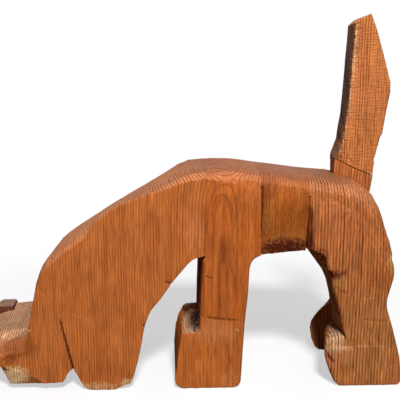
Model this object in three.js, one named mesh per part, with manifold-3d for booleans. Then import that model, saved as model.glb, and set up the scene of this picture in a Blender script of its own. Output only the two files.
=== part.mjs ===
import * as THREE from 'three';
import { mergeVertices } from 'three/addons/utils/BufferGeometryUtils.js';
import Module from 'manifold-3d';

// A sniffing hound sawn and knife-carved from redwood blocks, glued and dowelled.
// Millimetres. The head points to -X, the tail is at +X, +Y is the dog's right side, +Z is up.
// The origin is on the ground, in the middle of the length and the width.

// Half of the overall width, and of the neck's flat top between its two chamfers
const SIDE = 44;
const CREST = 36;

// Glue joints, by their place along the body
const NECK_JOINT = 7.5;
const WAIST_JOINT = 45.5;
const HAUNCH_JOINT = 78.5;
const GLUE_GAP = 0.3;

// The slot sawn between the left and right legs
const LEG_INNER = 14.5;
const SLOT_MARGIN = 20;

// Knife-softened corners of the legs
const LEG_ARRIS = 42.4;
const ARRIS_CUT = 1.4;

// Places across one half of the width where the rounded back is given a section
const BACK_STATIONS = [LEG_INNER, 26, CREST, 40.5, LEG_ARRIS, SIDE];

// Dowels
const DOWEL_RADIUS = 6;
const PEG_RADIUS = 5;
const NOSE_PEG_RADIUS = 2.5;
const DOWEL_CHAMFER = 1;
const HOLE_CLEARANCE = 0.3;
const HOLE_END_SPACE = 1;
const ROUND_SEGMENTS = 20;

// Samples between two points of a curved outline
const CURVE_STEPS = 3;

const WELD_TOLERANCE = 1e-4;

const wasm = await Module();
wasm.setup();

// A smooth run of points through the given ones
function curve(...points) {
  const spline = new THREE.SplineCurve(points.map(([x, z]) => new THREE.Vector2(x, z)));
  const samples = spline.getPoints(CURVE_STEPS * (points.length - 1));
  return samples.map((sample) => [sample.x, sample.y]);
}

// Linear blend from one value to another
function blend(from, to, share) {
  return from + (to - from) * share;
}

// A solid through sections with the same number of corners. Each corner is [x, y, z], and
// flatten gives a section's own plane.
function loft(sections, flatten) {
  const count = sections[0].length;
  const positions = sections.flat(2);
  const indices = [];
  for (let s = 0; s < sections.length - 1; s += 1) {
    for (let i = 0; i < count; i += 1) {
      const near = s * count + i;
      const nearNext = s * count + ((i + 1) % count);
      indices.push(near, near + count, nearNext);
      indices.push(nearNext, near + count, nearNext + count);
    }
  }
  const last = (sections.length - 1) * count;
  for (const start of [0, last]) {
    const contour = sections[start / count].map(flatten);
    const turn = Math.sign(THREE.ShapeUtils.area(contour));
    for (const [a, b, c] of THREE.ShapeUtils.triangulateShape(contour, [])) {
      const area = THREE.ShapeUtils.area([contour[a], contour[b], contour[c]]);
      const sameWay = (Math.sign(area) === turn) === (start === 0);
      indices.push(start + a, start + (sameWay ? b : c), start + (sameWay ? c : b));
    }
  }
  const geometry = new THREE.BufferGeometry();
  geometry.setAttribute('position', new THREE.Float32BufferAttribute(positions, 3));
  geometry.setIndex(facesOut(positions, indices));
  return solid(geometry);
}

// The triangles as given, or all turned over if they enclose a negative volume
function facesOut(positions, indices) {
  const corner = (i) => new THREE.Vector3().fromArray(positions, 3 * indices[i]);
  let volume = 0;
  for (let i = 0; i < indices.length; i += 3) {
    volume += corner(i).dot(corner(i + 1).cross(corner(i + 2)));
  }
  return volume < 0 ? [...indices].reverse() : indices;
}

// Side outlines that stand at different places across the width, left to right
function loftAcross(stations) {
  const sections = stations.map(({ y, outline }) => outline.map(([x, z]) => [x, y, z]));
  return loft(sections, ([x, , z]) => new THREE.Vector2(x, z));
}

// One outline carried straight across the width
function prismAcross(outline, fromY, toY) {
  return loftAcross([{ y: fromY, outline }, { y: toY, outline }]);
}

// A boolean solid from a three.js geometry
function solid(geometry) {
  const bare = geometry.clone();
  bare.deleteAttribute('normal');
  bare.deleteAttribute('uv');
  const merged = mergeVertices(bare, WELD_TOLERANCE);
  return new wasm.Manifold(new wasm.Mesh({
    numProp: 3,
    vertProperties: Float32Array.from(merged.attributes.position.array),
    triVerts: Uint32Array.from(merged.index.array),
  }));
}

// A round bar with chamfered ends, standing on the origin along +Z
function roundBar(radius, length, chamfer) {
  const profile = [
    new THREE.Vector2(0, 0),
    new THREE.Vector2(radius - chamfer, 0),
    new THREE.Vector2(radius, chamfer),
    new THREE.Vector2(radius, length - chamfer),
    new THREE.Vector2(radius - chamfer, length),
    new THREE.Vector2(0, length),
  ];
  const geometry = new THREE.LatheGeometry(profile, ROUND_SEGMENTS);
  geometry.rotateX(Math.PI / 2);
  return geometry;
}

// A dowel and the blind holes that take it. The direction is 'x' or 'z'.
function dowelAt({ x, y, z, length, radius, direction }) {
  const shapes = [];
  for (const clearance of [0, HOLE_CLEARANCE]) {
    const endSpace = clearance > 0 ? HOLE_END_SPACE : 0;
    const bar = roundBar(radius + clearance, length + 2 * endSpace, DOWEL_CHAMFER);
    bar.translate(0, 0, -endSpace);
    if (direction === 'x') {
      bar.rotateY(Math.PI / 2);
    }
    bar.translate(x, y, z);
    shapes.push(solid(bar));
  }
  return { pin: shapes[0], hole: shapes[1] };
}

// All holes taken out of one block
function bored(block, dowels) {
  return dowels.reduce((rest, dowel) => rest.subtract(dowel.hole), block);
}

// How far a point across the width has come down a straight chamfer beside the crest
function chamferShare(y) {
  return Math.max(0, (Math.abs(y) - CREST) / (SIDE - CREST));
}

// How far a point across the width has come down a rounded edge: an elliptic arc that
// starts level at one distance from the middle and ends upright at the side face
function roundShare(y, start) {
  const run = Math.max(0, (Math.abs(y) - start) / (SIDE - start));
  return 1 - Math.sqrt(1 - Math.min(1, run) ** 2);
}

// Places on one half of the width, from the middle outwards, repeated on both sides
function bothSides(distances) {
  return [...distances.map((y) => -y).reverse(), ...distances];
}

// Dowels lie in pairs across each block joint. Each starts a given reach before its joint.
const DOWEL_SPREAD = 20;
const NECK_DOWEL = { reach: 20, z: 118, length: 37 };
const WAIST_DOWEL = { reach: 16, z: 136, length: 32 };
const HAUNCH_DOWEL = { reach: 16, z: 116, length: 38 };

function dowelPair(joint, { reach, z, length }) {
  return [-DOWEL_SPREAD, DOWEL_SPREAD].map((y) => dowelAt({
    x: joint - reach, y, z, length, radius: DOWEL_RADIUS, direction: 'x',
  }));
}

const neckDowels = dowelPair(NECK_JOINT, NECK_DOWEL);
const waistDowels = dowelPair(WAIST_JOINT, WAIST_DOWEL);
const haunchDowels = dowelPair(HAUNCH_JOINT, HAUNCH_DOWEL);

// Upright pegs, from their lower end
const TAIL_DOWEL = { x: 116, z: 126, length: 52 };
const NOSE_PEG = { x: -141.5, z: 32, length: 14 };
const FOOT_PEG = { x: 20, z: 34, length: 36 };
const FOOT_MIDDLE = (SIDE + LEG_INNER) / 2;

const tailDowel = dowelAt({ ...TAIL_DOWEL, y: 0, radius: PEG_RADIUS, direction: 'z' });
const nosePeg = dowelAt({ ...NOSE_PEG, y: 0, radius: NOSE_PEG_RADIUS, direction: 'z' });
const [leftFootPeg, rightFootPeg] = [-FOOT_MIDDLE, FOOT_MIDDLE].map((y) => dowelAt({
  ...FOOT_PEG, y, radius: PEG_RADIUS, direction: 'z',
}));

// Head and neck: the top line from the joint to the brow, as x, height along the middle,
// tilt towards the left side, and the depth of the chamfer beside it
const NECK_TOP = [
  [7.2, 155.5, 0, 4.8],
  [-2.7, 154.6, 0, 5.5],
  [-10.7, 151.1, 0, 4],
  [-22, 144.8, 1, 3],
  [-34, 138.4, 2, 1.6],
  [-46, 132.2, 3, 1],
  [-58, 125.4, 3.2, 1],
  [-67, 119.4, 2.6, 1.6],
  [-72, 115.2, 1.4, 4.6],
  [-81, 109, 0.8, 4.6],
  [-89, 103.4, 0.4, 4.4],
  [-96.6, 97.6, 0, 4.6],
];

// The brow, as x and height on the inside of the chamfer, then on the side face
const BROW = [
  [-102.6, 92.6, -99.8, 90],
  [-106.4, 87, -103, 85.6],
  [-109.4, 78, -106.6, 77.6],
  [-110.6, 71.4, -108.8, 71],
  [-111.8, 65.8, -110, 65.8],
];

// The muzzle's section, from the ridge on top to the side face: distance from the middle,
// height at the stop, then x and height at the bend and at the tip
const MUZZLE = [
  { y: 0, stop: [-114.8, 50.6], bend: [-136, 49], tip: [-146.6, 46], chin: 0 },
  { y: 28, stop: [-116.6, 41.6], bend: [-136, 38.6], tip: [-145.6, 36.4], chin: 0 },
  { y: 38, stop: [-117.2, 39], bend: [-134, 32.6], tip: [-142, 30], chin: 0 },
  { y: 41.4, stop: [-117.8, 34.8], bend: [-132, 30], tip: [-139.2, 28], chin: 0 },
  { y: SIDE, stop: [-118.4, 30], bend: [-130, 27], tip: [-136.6, 25.4], chin: 1 },
];

// Underside of the head: chin, jaw, the notch behind the jaw, the ear's tip, the throat.
// The chin's corner rises at the side faces.
const JAW_BOTTOM = 4.6;
const JAW = [[-129.8, 0], [-113, 0], [-105, 1]];
const CHIN_LIFT = [[1, 12], [0, 6], [0, 0]];
const CHIN_FRONT = [-134.6, 14.2];
const CHIN_BLEND = 0.2;
const LIP_SET_BACK = 0.1;
const LIP_DROP = 0.35;
const NOTCH = curve(
  [-92.4, 6.2], [-90.4, 9.4], [-88.7, 13], [-85.8, 15.2], [-83, 13], [-80.6, 8], [-77.6, 2.6],
);
const EAR_TIP = [
  ...curve([-75, 0.9], [-73.2, 0.3], [-71, 0]),
  ...curve([-56, 0], [-51, 2.6], [-45, 4.6]),
];
const THROAT = curve(
  [-42.6, 10], [-39.5, 21.7], [-36.7, 34.4], [-34.3, 47], [-29.8, 58.4], [-23.1, 67],
  [-15.4, 78], [-7.6, 87.6], [-1.1, 94.6], [7.2, 97.6],
);

// The side outline of head and neck at one station across the width
function headOutline(y, muzzle) {
  const share = chamferShare(y);
  const top = NECK_TOP.map(([x, middle, tilt, chamfer]) => (
    [x, middle - (tilt * y) / CREST - chamfer * share]
  ));
  const brow = BROW.map(([x, z, sideX, sideZ]) => [blend(x, sideX, share), blend(z, sideZ, share)]);
  const [tipX, tipZ] = muzzle.tip;
  const lip = [
    blend(tipX, muzzle.bend[0], LIP_SET_BACK),
    blend(tipZ, JAW_BOTTOM, LIP_DROP),
  ];
  const chinFront = [
    blend(CHIN_FRONT[0], lip[0], CHIN_BLEND),
    blend(CHIN_FRONT[1], tipZ, CHIN_BLEND * (1 + muzzle.chin)),
  ];
  const jaw = JAW.map(([x, z], i) => [
    x + CHIN_LIFT[i][0] * muzzle.chin,
    JAW_BOTTOM + z + CHIN_LIFT[i][1] * muzzle.chin,
  ]);
  return [
    ...jaw,
    ...NOTCH,
    ...EAR_TIP,
    ...THROAT,
    ...top,
    ...brow,
    muzzle.stop,
    muzzle.bend,
    muzzle.tip,
    lip,
    chinFront,
  ];
}

// The ear's front edge: a vee-cut line on each side of the head, from its faint top down to
// the notch, as x, height and share of the full depth
const EAR_LINE = [[-92.6, 53.4, 0.3], [-90.2, 41, 0.7], [-87.6, 28, 0.9], [-84.8, 13, 1]];
const EAR_LINE_WIDTH = 2.6;
const EAR_LINE_DEPTH = 2.2;
const CUT_OVERSHOOT = 1;

// A vee-shaped cut along a line on the side face
function veeCut(line, side) {
  const sections = line.map(([x, z, share], i) => {
    const halfWidth = (EAR_LINE_WIDTH / 2) * share * (1 + CUT_OVERSHOOT / EAR_LINE_DEPTH);
    const [beforeX, beforeZ] = line[Math.max(i - 1, 0)];
    const [afterX, afterZ] = line[Math.min(i + 1, line.length - 1)];
    const length = Math.hypot(afterX - beforeX, afterZ - beforeZ);
    const acrossX = ((afterZ - beforeZ) / length) * halfWidth;
    const acrossZ = ((beforeX - afterX) / length) * halfWidth;
    return [
      [x + acrossX, side * (SIDE + CUT_OVERSHOOT * share), z + acrossZ],
      [x - acrossX, side * (SIDE + CUT_OVERSHOOT * share), z - acrossZ],
      [x, side * (SIDE - EAR_LINE_DEPTH * share), z],
    ];
  });
  return loft(sections, ([, y, z]) => new THREE.Vector2(z, y));
}

// The nose stands in a notch sawn across the muzzle's ridge
const NOSE_BACK = -134.6;
const NOSE_FRONT = -149;
const NOSE_SEAT = 40;
const NOSE_HALF_WIDTH = 7;
const NOSE_OUTLINE = [
  [NOSE_FRONT + 1.6, NOSE_SEAT],
  [NOSE_BACK, NOSE_SEAT],
  ...curve([NOSE_BACK, 48.4], [-135.2, 49.8], [-136.8, 50.4]),
  ...curve([-144, 50.2], [-147.4, 49], [NOSE_FRONT, 46]),
];
const NOSE_EDGE = 1;

function headNeckBlock() {
  const left = MUZZLE.slice(1).reverse();
  const stations = [
    ...left.map((muzzle) => ({ y: -muzzle.y, outline: headOutline(-muzzle.y, muzzle) })),
    ...MUZZLE.map((muzzle) => ({ y: muzzle.y, outline: headOutline(muzzle.y, muzzle) })),
  ];
  const noseNotch = prismAcross(
    [
      [NOSE_FRONT - SLOT_MARGIN, NOSE_SEAT - GLUE_GAP],
      [NOSE_BACK + GLUE_GAP, NOSE_SEAT - GLUE_GAP],
      [NOSE_BACK + GLUE_GAP, NOSE_SEAT + SLOT_MARGIN],
      [NOSE_FRONT - SLOT_MARGIN, NOSE_SEAT + SLOT_MARGIN],
    ],
    -NOSE_HALF_WIDTH - GLUE_GAP,
    NOSE_HALF_WIDTH + GLUE_GAP,
  );
  let block = loftAcross(stations).subtract(noseNotch);
  for (const side of [-1, 1]) {
    block = block.subtract(veeCut(EAR_LINE, side));
  }
  return bored(block, [...neckDowels, nosePeg]);
}

// The nose: a small block with its four top edges cut back
function nose() {
  const middleX = (NOSE_FRONT + NOSE_BACK) / 2;
  const inset = NOSE_OUTLINE.map(([x, z]) => [
    blend(x, middleX, (2 * NOSE_EDGE) / (NOSE_BACK - NOSE_FRONT)),
    z > NOSE_SEAT ? z - NOSE_EDGE : z,
  ]);
  const shoulder = NOSE_HALF_WIDTH - NOSE_EDGE;
  const block = loftAcross([
    { y: -NOSE_HALF_WIDTH, outline: inset },
    { y: -shoulder, outline: NOSE_OUTLINE },
    { y: shoulder, outline: NOSE_OUTLINE },
    { y: NOSE_HALF_WIDTH, outline: inset },
  ]);
  return bored(block, [nosePeg]);
}

// Shoulder block: top line as x and height along the middle, with how far the back comes
// down to the side face, first by rounding and then by the neck's chamfer
const SHOULDER_TOP = [
  [WAIST_JOINT - GLUE_GAP, 155.3, 7.9, 0],
  [35.9, 156.8, 8.4, 0],
  [24, 157.6, 6.4, 1.8],
  [14, 156.6, 2.8, 3.8],
  [NECK_JOINT + GLUE_GAP, 155.6, 0, 4.9],
];
const ANKLE_FRONT = [4.2, 53.8];
const ANKLE_BACK = [35.6, 49.8];
const CALF = [37.2, 66.4];
const ARMPIT = curve([37.7, 80.2], [38.2, 88.4], [40.4, 94.2], [WAIST_JOINT - GLUE_GAP, 97.2]);
const LEG_FRONT = [[NECK_JOINT + GLUE_GAP, 97.4], [5.9, 93.6], [4.9, 75]];

// The slot between the front legs, rounded at its top
const FRONT_SLOT = [
  [-SLOT_MARGIN, 0],
  [52, 0],
  [52, 78],
  ...curve([40, 84], [24, 88], [4, 84]),
  [-SLOT_MARGIN, 78],
];

function shoulderOutline(y) {
  const share = chamferShare(y);
  const cut = Math.abs(y) > LEG_ARRIS ? ARRIS_CUT : 0;
  const [ankleFrontX, ankleFrontZ] = ANKLE_FRONT;
  const [ankleBackX, ankleBackZ] = ANKLE_BACK;
  return [
    [ankleFrontX + cut, ankleFrontZ + GLUE_GAP],
    [ankleBackX - cut, ankleBackZ + GLUE_GAP],
    [CALF[0] - cut, CALF[1]],
    ...ARMPIT,
    ...SHOULDER_TOP.map(([x, z, crown, chamfer]) => (
      [x, z - crown * roundShare(y, 0) - chamfer * share]
    )),
    ...LEG_FRONT.map(([x, z], i) => [x + (i > 0 ? cut : 0), z]),
  ];
}

function shoulderBlock() {
  const stations = bothSides(BACK_STATIONS).map((y) => ({ y, outline: shoulderOutline(y) }));
  const block = loftAcross(stations);
  const slot = prismAcross(FRONT_SLOT, -LEG_INNER, LEG_INNER);
  return bored(
    block.subtract(slot),
    [...neckDowels, ...waistDowels, leftFootPeg, rightFootPeg],
  );
}

// Front feet. Both share the sole and the heel; each toe top slopes across its own width.
const SOLE = [
  ...curve([-14, 4.6], [-12, 1.6], [-8.6, 0]),
  ...curve([28.4, 0], [31.6, 1.2], [33.2, 4.4]),
];
const HEEL = [[34.2, 24.2], [35.4, 46.6], ANKLE_BACK];
const LEFT_TOE = {
  outer: [[3.8, 42.6], [-1, 42.2], [-6.4, 41.8], [-8.6, 39.8], [-9.8, 35], [-11.4, 24]],
  inner: [[3.4, 53.4], [-3, 52.4], [-8.4, 50.2], [-11.2, 45], [-13.4, 36], [-14.4, 24]],
  frontCut: [0.4, 0],
};
const RIGHT_TOE = {
  outer: [[3.8, 31.4], [-1, 31], [-5.4, 30.6], [-7.6, 28.8], [-8.8, 25.4], [-9.2, 20]],
  inner: [[3.4, 39.4], [-3, 39], [-7.4, 37.4], [-10.4, 33], [-11.8, 27], [-12.4, 20]],
  frontCut: [0.8, 1.8],
};
const TOE_ARRIS_SHARE = 0.05;

// The foot's side outline, at a share of the way from its outer to its inner face
function footOutline(toe, share, cut) {
  const top = toe.outer.map(([x, z], i) => [
    blend(x, toe.inner[i][0], share),
    blend(z, toe.inner[i][1], share),
  ]);
  const frontCut = blend(toe.frontCut[0], toe.frontCut[1], share);
  return [
    ...SOLE.map(([x, z]) => [x < 0 ? x + frontCut : x - cut, z]),
    ...HEEL.map(([x, z]) => [x - cut, z]),
    ANKLE_FRONT,
    ...top,
  ];
}

function frontFoot(side, toe, peg) {
  const faces = [
    { y: side * SIDE, outline: footOutline(toe, 0, ARRIS_CUT) },
    { y: side * LEG_ARRIS, outline: footOutline(toe, TOE_ARRIS_SHARE, 0) },
    { y: side * LEG_INNER, outline: footOutline(toe, 1, 0) },
  ];
  faces.sort((a, b) => a.y - b.y);
  return bored(loftAcross(faces), [peg]);
}

// Waist block: cross sections from one glued face to the other. The back is flush with its
// neighbours, and the sides slope in below it. A side corner is its distance from the middle
// and its share of the height from the belly to the foot of the rounding.
const WAIST_FLANK = [[33.6, 0], [36.4, 0.14], [39.6, 0.5], [42.6, 0.85]];
const WAIST_INSET = 0.3;
const WAIST_SECTIONS = [
  { x: WAIST_JOINT + GLUE_GAP, belly: 94.8, top: 155.2, crown: 7.9 },
  { x: (WAIST_JOINT + HAUNCH_JOINT) / 2, belly: 96.2, top: 153.2, crown: 8.3 },
  { x: HAUNCH_JOINT - GLUE_GAP, belly: 97.6, top: 151.1, crown: 8.6 },
];

function waistBlock() {
  const sections = WAIST_SECTIONS.map(({ x, belly, top, crown }) => {
    const flank = WAIST_FLANK.map(([y, share]) => [y, blend(belly, top - crown, share)]);
    const back = [...BACK_STATIONS].reverse().map((y) => (
      [y - WAIST_INSET, top - crown * roundShare(y, 0)]
    ));
    const right = [...flank, ...back];
    const left = right.map(([y, z]) => [-y, z]).reverse();
    return [...right, ...left].map(([y, z]) => [x, y, z]);
  });
  const block = loft(sections, ([, y, z]) => new THREE.Vector2(y, z));
  return bored(block, [...waistDowels, ...haunchDowels]);
}

// Haunch: the rump's outline from the rear up and along the back to the joint, along the
// middle and at the side face. Between them the rump is rounded.
const RUMP = {
  middle: [
    [141, 97.5], [139.8, 105.6], [138, 113], [135.8, 121.4], [133.4, 128.4], [130.2, 134.4],
    [123.4, 140.6], [113.5, 146.8], [102, 149.6], [90, 150.1], [78.8, 151],
  ],
  side: [
    [138.4, 95], [134.6, 101.5], [130, 107.5], [125.8, 114.5], [121.6, 120.5], [116.6, 126],
    [111, 130.4], [105.6, 133.6], [98.6, 136.6], [89, 139.8], [78.8, 142.5],
  ],
};

// Back of the hind legs, from the sole to the rump
const HIND_BACK = [
  [146.6, 0], [149, 2], [148.4, 10], [146.6, 21.5], [143.6, 32.2], [140.9, 41.3],
  ...curve([137.6, 52], [135.6, 58], [135.4, 64], [136.8, 70.4]),
  ...curve([138.9, 79.7], [139.8, 87.6], [139.4, 93]),
];

// Front of the hind legs, from the joint down over the toe to the sole, at the side faces
// and at the slot
const HIND_FRONT = {
  leftOuter: [
    [78.8, 99.8], [83, 100.2], [87.9, 96.8], [90.8, 91.3], [92.7, 85.8], [95.4, 81.5],
    [95.6, 73.7], [101, 57.5], [104.2, 46], [107, 39],
    [96.4, 37.4], [92.6, 33.4], [91.4, 27], [93.1, 19.4], [95.7, 11.7], [99.5, 3.2], [103, 0],
  ],
  leftInner: [
    [78.8, 99.4], [81.5, 96.6], [85.9, 91.2], [88.6, 87], [92.2, 81.9], [95.4, 77.3],
    [98.7, 69.5], [101.6, 57], [103.6, 46], [104.8, 37],
    [101.6, 35.6], [99.6, 31.6], [99, 25], [100.2, 18], [103, 11], [107, 3.2], [110.5, 0],
  ],
  rightInner: [
    [78.8, 98.4], [84, 92], [88.4, 88], [92.9, 83], [96, 78.4], [99.6, 73.2],
    [103, 68], [106.6, 59.6], [109.6, 46], [110, 40.6],
    [104.6, 36.6], [99, 31], [95.4, 25.6], [94.4, 19.6], [96, 10.6], [99, 3.6], [102.5, 0],
  ],
  rightOuter: [
    [78.8, 98.4], [86, 93], [91, 88.5], [96, 82.5], [99.8, 77], [103, 71],
    [106.8, 64.5], [110.8, 58.6], [114.6, 49.6], [117.6, 34],
    [113.4, 28], [108.8, 23.4], [105, 18], [103.6, 13], [104.4, 7], [106.4, 2], [109, 0],
  ],
};

// The left hind toe is rounded over towards its side: the first corner of its top in the
// outline above, and how far the corners from there on move back and down
const TOE_START = 9;
const TOE_ROUNDING = [[0, 6.8], [2, 6.2], [1, 4.6], [0.2, 1.4]];
const TOE_CREST = 34;

// The lower leg is sliced back to a stop cut along the top of each hind foot: x, height
// and depth of the cut. The slice runs out higher up the leg.
const LEDGE = [[104, 31.2, 0.2], [113, 30.6, 1.4], [132, 30.2, 1.6], [141, 30, 0.3], [152, 30, 0.2]];
const LEDGE_TOP = 72;

// The slot between the hind legs
const HIND_SLOT = [
  [70, -1],
  [160, -1],
  [160, 66],
  ...curve([138, 70], [124, 80], [104, 84], [86, 84]),
  [70, 84],
];

// The tail's seat on the rump: a slanting saw cut, and the plinth under it
const TAIL_HALF_WIDTH = 12;
const TAIL_ARRIS = 0.9;
const TAIL_MIDDLE = 118;
const TAIL_SEAT_GAP = 0.45;
const TAIL_SEAT = curve([101.4, 159.7], [107.6, 157.2], [113.3, 154.3], [120.7, 150.9], [130.3, 147.7]);
const PLINTH = [...TAIL_SEAT, [130.1, 144.8], [128.8, 135.6], [124, 126], [102.4, 130]];
const TAIL_OUTLINE = [
  ...TAIL_SEAT.map(([x, z]) => [x, z + TAIL_SEAT_GAP]),
  [131.2, 157.4],
  [134.7, 173.7],
  [135.8, 178],
  [138.1, 195.7],
  [139.8, 206.8],
  [139.5, 213.7],
  [134.2, 230.8],
  [128.7, 247.6],
  [123.6, 260.2],
  [117.2, 257.6],
  [112.7, 254],
  [112.4, 243.6],
  [111.6, 230.8],
  [111, 215.8],
  [110.4, 203.4],
  [109.7, 191],
  [108.4, 182],
  [107.4, 172.6],
  [104.4, 163.8],
];

// Towards the dog's right side the seat rises and the front edge is drawn back, most of all
// at the tail's foot
const SEAT_RISE = 1.6;
const FRONT_SKEW = 0.8;
const FOOT_SKEW = 3;
const FOOT_TOP = 162;
const SKEW_RUN = 6;

// The haunch's side outline at one place across the width
function haunchOutline(y) {
  const distance = Math.abs(y);
  const top = RUMP.middle.map(([x, z], i) => [
    blend(x, RUMP.side[i][0], roundShare(y, 0)),
    blend(z, RUMP.side[i][1], roundShare(y, 0)),
  ]);
  const outer = y < 0 ? HIND_FRONT.leftOuter : HIND_FRONT.rightOuter;
  const inner = y < 0 ? HIND_FRONT.leftInner : HIND_FRONT.rightInner;
  const depth = Math.max(0, Math.min(1, (SIDE - distance) / (SIDE - LEG_INNER)));
  const cut = distance > LEG_ARRIS ? ARRIS_CUT : 0;
  const front = outer.map(([x, z], i) => [
    blend(x, inner[i][0], depth) + (i > 1 ? cut : 0),
    blend(z, inner[i][1], depth),
  ]);
  if (y < 0) {
    TOE_ROUNDING.forEach(([back, down], i) => {
      front[TOE_START + i][0] += back * roundShare(y, TOE_CREST);
      front[TOE_START + i][1] -= down * roundShare(y, TOE_CREST);
    });
  }
  return [
    ...HIND_BACK.map(([x, z]) => [x - cut, z]),
    ...top,
    ...front,
  ];
}

// An outline of the tail or its plinth, which starts with the seat, at one place across
function tailStation(y, outline) {
  const share = (y + TAIL_HALF_WIDTH) / (2 * TAIL_HALF_WIDTH);
  const moved = outline.map(([x, z], i) => {
    const skew = z < FOOT_TOP ? FOOT_SKEW : FRONT_SKEW;
    const frontShare = Math.max(0, Math.min(1, (TAIL_MIDDLE - x) / SKEW_RUN));
    const rise = i < TAIL_SEAT.length ? SEAT_RISE : 0;
    return [x + skew * frontShare * share, z + rise * share];
  });
  return { y, outline: moved };
}

// The slice taken off the lower leg above one hind foot
function ledgeCut(side) {
  const sections = LEDGE.map(([x, z, depth]) => [
    [x, side * (SIDE + CUT_OVERSHOOT), z],
    [x, side * (SIDE - depth), z],
    [x, side * SIDE, LEDGE_TOP],
    [x, side * (SIDE + CUT_OVERSHOOT), LEDGE_TOP],
  ]);
  return loft(sections, ([, y, z]) => new THREE.Vector2(y, z));
}

function haunchBlock() {
  const stations = bothSides(BACK_STATIONS).map((y) => ({ y, outline: haunchOutline(y) }));
  let block = loftAcross(stations);
  for (const side of [-1, 1]) {
    block = block.subtract(ledgeCut(side));
  }
  const slot = prismAcross(HIND_SLOT, -LEG_INNER, LEG_INNER);
  const plinth = loftAcross([
    tailStation(-TAIL_HALF_WIDTH, PLINTH),
    tailStation(TAIL_HALF_WIDTH, PLINTH),
  ]);
  return bored(block.add(plinth).subtract(slot), [...haunchDowels, tailDowel]);
}

function tail() {
  const inset = TAIL_OUTLINE.map(([x, z], i) => [
    i < TAIL_SEAT.length ? x : x + Math.sign(TAIL_MIDDLE - x) * TAIL_ARRIS,
    z,
  ]);
  const flat = TAIL_HALF_WIDTH - TAIL_ARRIS;
  const block = loftAcross([
    tailStation(-TAIL_HALF_WIDTH, inset),
    tailStation(-flat, TAIL_OUTLINE),
    tailStation(flat, TAIL_OUTLINE),
    tailStation(TAIL_HALF_WIDTH, inset),
  ]);
  return bored(block, [tailDowel]);
}

// A named mesh with its own wood
function piece(name, shape, color, roughness) {
  const mesh = shape.getMesh();
  const geometry = new THREE.BufferGeometry();
  geometry.setAttribute('position', new THREE.BufferAttribute(mesh.vertProperties, 3));
  geometry.setIndex(new THREE.BufferAttribute(mesh.triVerts, 1));
  geometry.computeVertexNormals();
  const material = new THREE.MeshStandardMaterial({ color, roughness });
  material.name = `${name}_wood`;
  const result = new THREE.Mesh(geometry, material);
  result.name = name;
  return result;
}

const REDWOOD = 0xb05c2a;
const REDWOOD_PALE = 0xb86634;
const DARK_WOOD = 0x733c2d;
const BEECH = 0xd2ad7c;
const SAWN_ROUGHNESS = 0.8;
const DOWEL_ROUGHNESS = 0.6;

const dog = new THREE.Group();
dog.name = 'carved_wooden_dog';
dog.add(piece('head_neck_block', headNeckBlock(), REDWOOD, SAWN_ROUGHNESS));
dog.add(piece('nose', nose(), DARK_WOOD, SAWN_ROUGHNESS));
dog.add(piece('shoulder_block', shoulderBlock(), REDWOOD_PALE, SAWN_ROUGHNESS));
dog.add(piece('front_foot_left', frontFoot(-1, LEFT_TOE, leftFootPeg), REDWOOD, SAWN_ROUGHNESS));
dog.add(piece('front_foot_right', frontFoot(1, RIGHT_TOE, rightFootPeg), REDWOOD, SAWN_ROUGHNESS));
dog.add(piece('waist_block', waistBlock(), REDWOOD_PALE, SAWN_ROUGHNESS));
dog.add(piece('haunch_block', haunchBlock(), REDWOOD, SAWN_ROUGHNESS));
dog.add(piece('tail', tail(), REDWOOD_PALE, SAWN_ROUGHNESS));

const hidden = {
  dowel_neck_left: neckDowels[0],
  dowel_neck_right: neckDowels[1],
  dowel_waist_left: waistDowels[0],
  dowel_waist_right: waistDowels[1],
  dowel_haunch_left: haunchDowels[0],
  dowel_haunch_right: haunchDowels[1],
  dowel_tail: tailDowel,
  peg_nose: nosePeg,
  peg_front_foot_left: leftFootPeg,
  peg_front_foot_right: rightFootPeg,
};
for (const [name, dowel] of Object.entries(hidden)) {
  dog.add(piece(name, dowel.pin, BEECH, DOWEL_ROUGHNESS));
}

export default dog;
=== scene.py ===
"""A sniffing hound carved from glued redwood blocks: dressed wood, floor, light and camera.

Lengths are given in millimetres, as a carver would measure them, and turned to metres by MM.
"""

import logging
import math
from dataclasses import dataclass
from enum import Enum
from typing import Any

import bmesh
import bpy
import numpy as np
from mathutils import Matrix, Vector, noise


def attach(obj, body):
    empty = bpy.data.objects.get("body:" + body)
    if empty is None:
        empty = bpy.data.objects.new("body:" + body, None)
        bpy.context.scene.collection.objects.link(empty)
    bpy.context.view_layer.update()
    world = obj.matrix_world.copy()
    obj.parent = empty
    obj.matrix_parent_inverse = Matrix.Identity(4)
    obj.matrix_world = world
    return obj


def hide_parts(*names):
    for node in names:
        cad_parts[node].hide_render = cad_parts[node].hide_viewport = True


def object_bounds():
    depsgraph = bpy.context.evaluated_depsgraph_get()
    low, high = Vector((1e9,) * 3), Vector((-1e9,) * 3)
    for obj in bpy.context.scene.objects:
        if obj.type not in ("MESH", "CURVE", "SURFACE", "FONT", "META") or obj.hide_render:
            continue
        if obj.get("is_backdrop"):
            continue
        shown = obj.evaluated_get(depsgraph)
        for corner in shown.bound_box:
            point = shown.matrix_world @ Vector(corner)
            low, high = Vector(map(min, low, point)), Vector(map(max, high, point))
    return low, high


MM = 0.001
BODY = "root"
HEX_BASE = 16
CHANNEL_MAX = 255.0

# Blender's names for the nodes and settings that are used most
MATH = "ShaderNodeMath"
VECTOR_MATH = "ShaderNodeVectorMath"
MAP_RANGE = "ShaderNodeMapRange"
MIX = "ShaderNodeMix"
ADD = {"operation": "ADD"}
MULTIPLY = {"operation": "MULTIPLY"}
MULTIPLY_ADD = {"operation": "MULTIPLY_ADD"}
SMOOTH = {"interpolation_type": "SMOOTHSTEP"}
RGBA = {"data_type": "RGBA"}

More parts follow.
